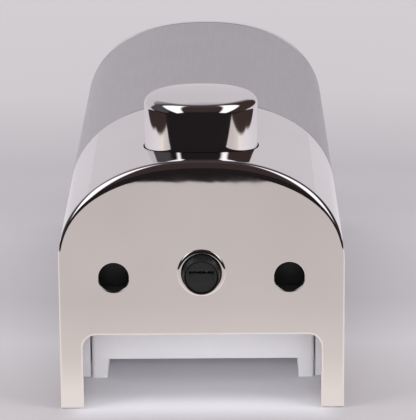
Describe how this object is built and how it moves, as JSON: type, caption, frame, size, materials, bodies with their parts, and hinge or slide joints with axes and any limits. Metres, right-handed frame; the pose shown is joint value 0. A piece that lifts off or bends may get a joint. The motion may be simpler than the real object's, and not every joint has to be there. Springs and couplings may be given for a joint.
{
  "type": "wall soap dispenser",
  "caption": "Arched wall soap dispenser on its back: push button pumps soap out of the end nozzle; the upper cover swings open to fill the tank.",
  "frame": {"origin": "under the middle of the whole length and width, in the plane of the wall face", "axes": "+X across the width, +Y from the nozzle end to the top end, +Z from the wall to the front"},
  "size_m": [0.1, 0.256, 0.108],
  "materials": {
    "polished_chrome": "polished chrome plating",
    "satin_chrome": "satin chrome plating",
    "white_plastic": "moulded white, light sheen",
    "natural_plastic": "unpigmented moulding",
    "tank_plastic": "milky, thin walled",
    "black_plastic": "moulded black",
    "black_rubber": "matt",
    "steel": "bright"
  },
  "bodies": {
    "frame": {"lower_cover": "polished_chrome", "button_guide": "black_plastic", "return_spring": "steel", "pump_body": "white_plastic", "pump_cap": "natural_plastic", "pump_screw_left": "steel", "pump_screw_right": "steel", "inlet_valve_plate": "white_plastic", "inlet_flap": "black_rubber", "feed_seal": "black_rubber", "nozzle": "black_plastic", "duckbill_valve": "black_rubber", "latch_spring_left": "steel", "latch_spring_right": "steel", "wall_plate": "white_plastic", "chassis": "white_plastic", "chassis_screw_left_1": "steel", "chassis_screw_left_2": "steel", "chassis_screw_right_1": "steel", "chassis_screw_right_2": "steel", "hinge_pin_left": "steel", "hinge_pin_right": "steel", "tank": "tank_plastic", "filler_cap": "white_plastic", "filler_seal": "black_rubber"},
    "button": {"push_button": "polished_chrome", "piston_rod": "natural_plastic", "piston_seal": "black_rubber"},
    "cover": {"upper_cover": "satin_chrome", "top_cap": "polished_chrome"},
    "latch_left": {"release_latch_left": "black_plastic"},
    "latch_right": {"release_latch_right": "black_plastic"}
  },
  "joints": [
    {"name": "button_press", "type": "slide", "parent": "frame", "child": "button", "axis": [0, 0, -1], "range_m": [0, 0.012], "stiffness_N_per_m": 500, "springref_m": -0.008, "deforming": ["return_spring"]},
    {"name": "cover_hinge", "type": "hinge", "parent": "frame", "child": "cover", "pos_m": [0, 0.12, 0.008], "axis": [-1, 0, 0], "range_deg": [0, 85]},
    {"name": "latch_left_slide", "type": "slide", "parent": "frame", "child": "latch_left", "axis": [0, 1, 0], "range_m": [0, 0.005], "stiffness_N_per_m": 300, "springref_m": -0.004, "deforming": ["latch_spring_left"]},
    {"name": "latch_right_slide", "type": "slide", "parent": "frame", "child": "latch_right", "axis": [0, 1, 0], "range_m": [0, 0.005], "stiffness_N_per_m": 300, "springref_m": -0.004, "deforming": ["latch_spring_right"]}
  ]
}
